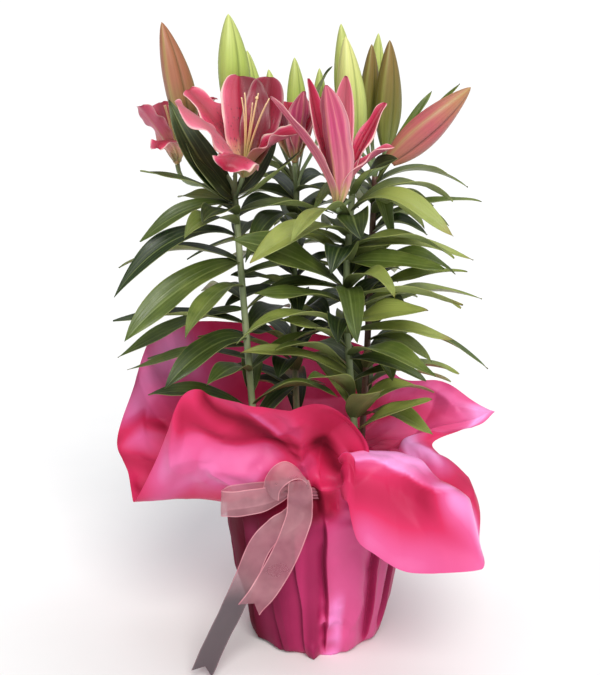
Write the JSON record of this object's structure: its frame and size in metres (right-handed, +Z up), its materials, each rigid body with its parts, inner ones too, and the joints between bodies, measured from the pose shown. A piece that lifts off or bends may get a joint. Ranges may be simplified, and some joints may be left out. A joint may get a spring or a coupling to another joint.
{
  "type": "potted lily",
  "caption": "Potted Oriental lily with leafy stems, open pink blooms and buds, its nursery pot wrapped in pink film tied with a sheer ribbon.",
  "frame": {"origin": "middle of the wrap's flat underside, on the surface that the pot stands on, on the pot's axis", "axes": "+Z up along the pot's axis, -Y towards the side where the ribbon's knot is, +X to the right seen from there"},
  "size_m": [0.364, 0.3081, 0.585],
  "materials": {
    "film": "satin",
    "ribbon": "satin",
    "pot": "satin",
    "soil": "matte",
    "leaf": "satin",
    "petal": "matte",
    "stamen": "satin",
    "bud_green": "satin",
    "bud_rose": "satin"
  },
  "bodies": {
    "root": {"wrap_film": "film", "nursery_pot": "pot", "potting_soil": "soil", "ribbon_tie": "ribbon", "ribbon_knot": "ribbon", "ribbon_loop_left": "ribbon", "ribbon_loop_upper": "ribbon", "ribbon_tail_front": "ribbon", "ribbon_tail_back": "ribbon", "bloom_left": "petal", "stamens_left": "stamen", "bloom_right": "petal", "stamens_right": "stamen", "bloom_middle": "petal", "stamens_middle": "stamen", "bloom_far_left": "petal", "stamens_far_left": "stamen", "bud_left_rose": "bud_rose", "bud_left_green": "bud_green", "bud_left_hidden": "bud_green", "bud_middle_small": "bud_green", "bud_middle_green": "bud_green", "bud_middle_slim": "bud_green", "bud_right_yellow": "bud_green", "bud_right_tall": "bud_green", "bud_right_back": "bud_green", "bud_right_brown": "bud_rose", "bud_right_brown_back": "bud_green", "bud_right_salmon": "bud_rose", "leafy_stem_front_left": "leaf", "leafy_stem_front_right": "leaf", "leafy_stem_back_right": "leaf", "leafy_stem_back_middle": "leaf"}
  },
  "joints": []
}
